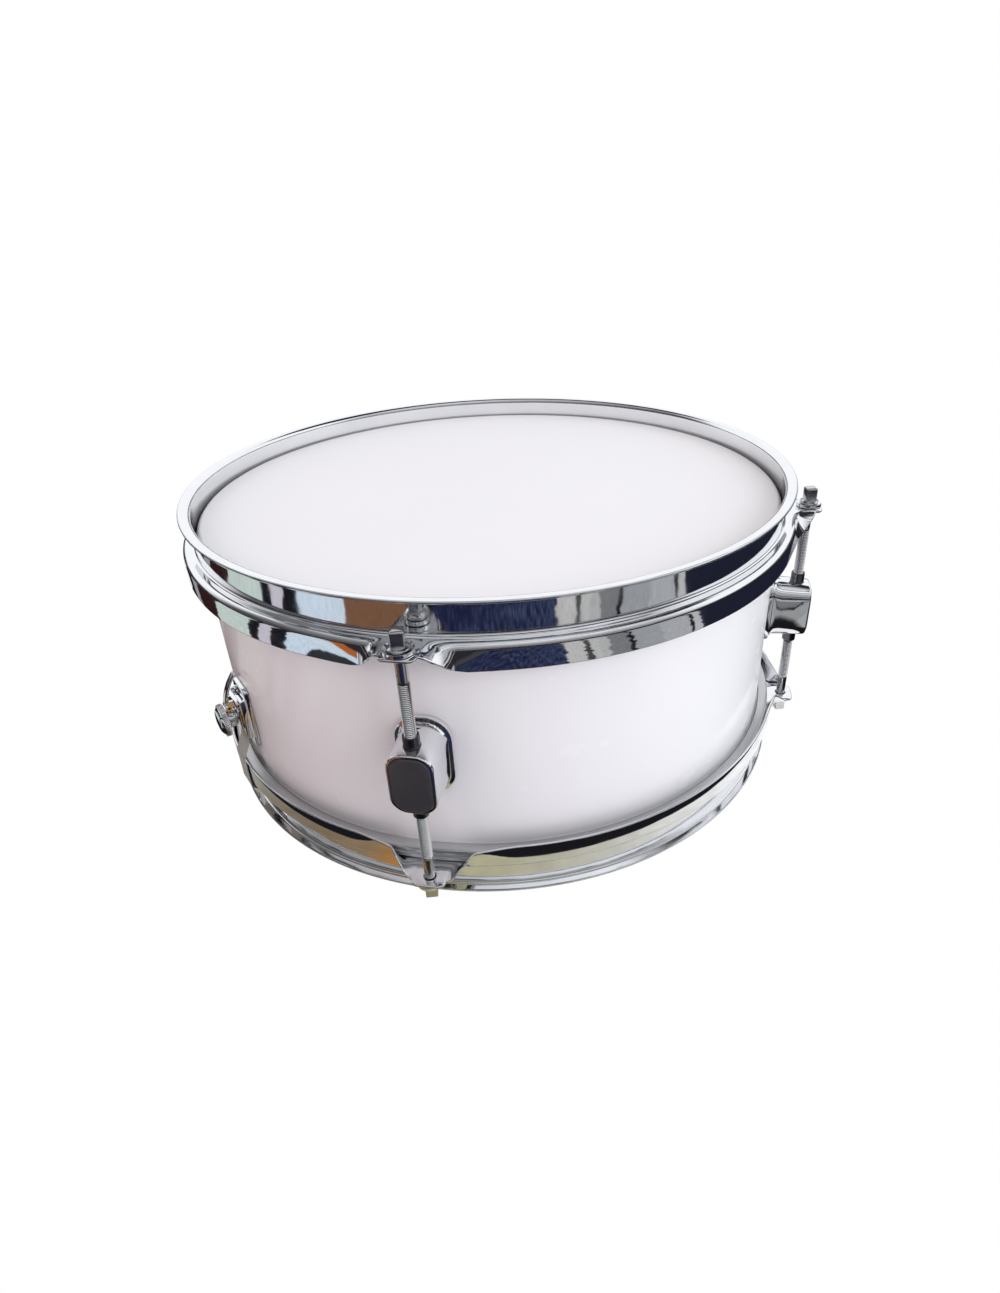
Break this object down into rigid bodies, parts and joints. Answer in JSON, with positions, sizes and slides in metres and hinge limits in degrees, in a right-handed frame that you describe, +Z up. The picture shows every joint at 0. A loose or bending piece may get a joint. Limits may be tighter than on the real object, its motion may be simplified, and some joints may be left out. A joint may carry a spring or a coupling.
{
  "type": "marching snare drum",
  "caption": "Marching snare drum: glossy white shell between chromed hoops, with lugs, tension rods, drum heads, snare wires and a throw-off strainer.",
  "frame": {"origin": "floor under the middle of the drum, on the axis of the shell", "axes": "+Z up along the drum's axis to the batter side; +X to the right-hand lug, -Y to the front lug; strainer at -135 degrees"},
  "size_m": [0.4064, 0.4064, 0.1755],
  "materials": {
    "white_lacquer": "gloss white lacquer over ply",
    "coated_film": "sprayed white coating",
    "flesh_aluminium": "satin",
    "chrome": "bright chrome plate",
    "charcoal_inlay": "satin charcoal",
    "dark_steel": "dark nickel",
    "snare_steel": "bright drawn wire",
    "strap_plastic": "translucent white strip"
  },
  "bodies": {
    "drum": {"shell": "white_lacquer", "batter_head": "coated_film", "snare_head": "coated_film", "batter_flesh_hoop": "flesh_aluminium", "snare_flesh_hoop": "flesh_aluminium", "batter_hoop": "chrome", "snare_hoop": "chrome", "lug_front": "chrome", "lug_inlay_front": "charcoal_inlay", "swivel_nut_front_top": "dark_steel", "lug_screw_front_top": "dark_steel", "swivel_nut_front_bottom": "dark_steel", "lug_screw_front_bottom": "dark_steel", "lug_right": "chrome", "lug_inlay_right": "charcoal_inlay", "swivel_nut_right_top": "dark_steel", "lug_screw_right_top": "dark_steel", "swivel_nut_right_bottom": "dark_steel", "lug_screw_right_bottom": "dark_steel", "lug_back": "chrome", "lug_inlay_back": "charcoal_inlay", "swivel_nut_back_top": "dark_steel", "lug_screw_back_top": "dark_steel", "swivel_nut_back_bottom": "dark_steel", "lug_screw_back_bottom": "dark_steel", "lug_left": "chrome", "lug_inlay_left": "charcoal_inlay", "swivel_nut_left_top": "dark_steel", "lug_screw_left_top": "dark_steel", "swivel_nut_left_bottom": "dark_steel", "lug_screw_left_bottom": "dark_steel", "butt_strap": "strap_plastic", "strainer_bracket": "chrome", "lever_pivot_pin": "dark_steel", "strainer_screw_upper": "dark_steel", "strainer_screw_lower": "dark_steel", "butt_block": "chrome", "butt_clamp_bar": "chrome"},
    "washer_front_top": {"rod_washer_front_top": "chrome"},
    "rod_front_top": {"tension_rod_front_top": "chrome"},
    "washer_front_bottom": {"rod_washer_front_bottom": "chrome"},
    "rod_front_bottom": {"tension_rod_front_bottom": "chrome"},
    "washer_right_top": {"rod_washer_right_top": "chrome"},
    "rod_right_top": {"tension_rod_right_top": "chrome"},
    "washer_right_bottom": {"rod_washer_right_bottom": "chrome"},
    "rod_right_bottom": {"tension_rod_right_bottom": "chrome"},
    "washer_back_top": {"rod_washer_back_top": "chrome"},
    "rod_back_top": {"tension_rod_back_top": "chrome"},
    "washer_back_bottom": {"rod_washer_back_bottom": "chrome"},
    "rod_back_bottom": {"tension_rod_back_bottom": "chrome"},
    "washer_left_top": {"rod_washer_left_top": "chrome"},
    "rod_left_top": {"tension_rod_left_top": "chrome"},
    "washer_left_bottom": {"rod_washer_left_bottom": "chrome"},
    "rod_left_bottom": {"tension_rod_left_bottom": "chrome"},
    "lever": {"strainer_lever": "chrome"},
    "slider": {"strap_slider": "chrome", "strainer_strap": "strap_plastic"},
    "snares": {"snare_wires": "snare_steel"},
    "clamp": {"strap_clamp_plate": "chrome"},
    "thumbscrew": {"clamp_thumbscrew": "chrome"}
  },
  "joints": [
    {"name": "rod_front_top_travel", "type": "slide", "parent": "drum", "child": "washer_front_top", "axis": [0, 0, 1], "range_m": [0, 0.004]},
    {"name": "rod_front_top_turn", "type": "hinge", "parent": "washer_front_top", "child": "rod_front_top", "pos_m": [0, -0.1944, 0.156], "axis": [0, 0, 1], "range_deg": [0, 1440]},
    {"name": "rod_front_bottom_travel", "type": "slide", "parent": "drum", "child": "washer_front_bottom", "axis": [0, 0, -1], "range_m": [0, 0.004]},
    {"name": "rod_front_bottom_turn", "type": "hinge", "parent": "washer_front_bottom", "child": "rod_front_bottom", "pos_m": [0, -0.1944, 0.0195], "axis": [0, 0, -1], "range_deg": [0, 1440]},
    {"name": "rod_right_top_travel", "type": "slide", "parent": "drum", "child": "washer_right_top", "axis": [0, 0, 1], "range_m": [0, 0.004]},
    {"name": "rod_right_top_turn", "type": "hinge", "parent": "washer_right_top", "child": "rod_right_top", "pos_m": [0.1944, 0, 0.156], "axis": [0, 0, 1], "range_deg": [0, 1440]},
    {"name": "rod_right_bottom_travel", "type": "slide", "parent": "drum", "child": "washer_right_bottom", "axis": [0, 0, -1], "range_m": [0, 0.004]},
    {"name": "rod_right_bottom_turn", "type": "hinge", "parent": "washer_right_bottom", "child": "rod_right_bottom", "pos_m": [0.1944, 0, 0.0195], "axis": [0, 0, -1], "range_deg": [0, 1440]},
    {"name": "rod_back_top_travel", "type": "slide", "parent": "drum", "child": "washer_back_top", "axis": [0, 0, 1], "range_m": [0, 0.004]},
    {"name": "rod_back_top_turn", "type": "hinge", "parent": "washer_back_top", "child": "rod_back_top", "pos_m": [0, 0.1944, 0.156], "axis": [0, 0, 1], "range_deg": [0, 1440]},
    {"name": "rod_back_bottom_travel", "type": "slide", "parent": "drum", "child": "washer_back_bottom", "axis": [0, 0, -1], "range_m": [0, 0.004]},
    {"name": "rod_back_bottom_turn", "type": "hinge", "parent": "washer_back_bottom", "child": "rod_back_bottom", "pos_m": [0, 0.1944, 0.0195], "axis": [0, 0, -1], "range_deg": [0, 1440]},
    {"name": "rod_left_top_travel", "type": "slide", "parent": "drum", "child": "washer_left_top", "axis": [0, 0, 1], "range_m": [0, 0.004]},
    {"name": "rod_left_top_turn", "type": "hinge", "parent": "washer_left_top", "child": "rod_left_top", "pos_m": [-0.1944, 0, 0.156], "axis": [0, 0, 1], "range_deg": [0, 1440]},
    {"name": "rod_left_bottom_travel", "type": "slide", "parent": "drum", "child": "washer_left_bottom", "axis": [0, 0, -1], "range_m": [0, 0.004]},
    {"name": "rod_left_bottom_turn", "type": "hinge", "parent": "washer_left_bottom", "child": "rod_left_bottom", "pos_m": [-0.1944, 0, 0.0195], "axis": [0, 0, -1], "range_deg": [0, 1440]},
    {"name": "lever_throw", "type": "hinge", "parent": "drum", "child": "lever", "pos_m": [-0.13265, -0.13265, 0.0742], "axis": [0.7071, -0.7071, 0], "range_deg": [0, 100]},
    {"name": "slider_drop", "type": "slide", "parent": "drum", "child": "slider", "axis": [0, 0, -1], "range_m": [0, 0.0046]},
    {"name": "snare_drop", "type": "hinge", "parent": "drum", "child": "snares", "pos_m": [0.10394, 0.10394, 0.009], "axis": [0.7071, -0.7071, 0], "range_deg": [0, 0.9]},
    {"name": "clamp_open", "type": "slide", "parent": "slider", "child": "clamp", "axis": [-0.7071, -0.7071, 0], "range_m": [0, 0.0014]},
    {"name": "thumbscrew_turn", "type": "hinge", "parent": "clamp", "child": "thumbscrew", "pos_m": [-0.13435, -0.13435, 0.066], "axis": [-0.7071, -0.7071, 0], "range_deg": [0, 720]}
  ],
  "couplings": [
    {"joint": "rod_front_top_travel", "follows": "rod_front_top_turn", "m_per_rad": 0.00015915},
    {"joint": "rod_front_bottom_travel", "follows": "rod_front_bottom_turn", "m_per_rad": 0.00015915},
    {"joint": "rod_right_top_travel", "follows": "rod_right_top_turn", "m_per_rad": 0.00015915},
    {"joint": "rod_right_bottom_travel", "follows": "rod_right_bottom_turn", "m_per_rad": 0.00015915},
    {"joint": "rod_back_top_travel", "follows": "rod_back_top_turn", "m_per_rad": 0.00015915},
    {"joint": "rod_back_bottom_travel", "follows": "rod_back_bottom_turn", "m_per_rad": 0.00015915},
    {"joint": "rod_left_top_travel", "follows": "rod_left_top_turn", "m_per_rad": 0.00015915},
    {"joint": "rod_left_bottom_travel", "follows": "rod_left_bottom_turn", "m_per_rad": 0.00015915},
    {"joint": "slider_drop", "follows": "lever_throw", "m_per_rad": 0.0025783},
    {"joint": "snare_drop", "follows": "lever_throw", "ratio": 0.0086087},
    {"joint": "clamp_open", "follows": "thumbscrew_turn", "m_per_rad": 0.00011141}
  ]
}
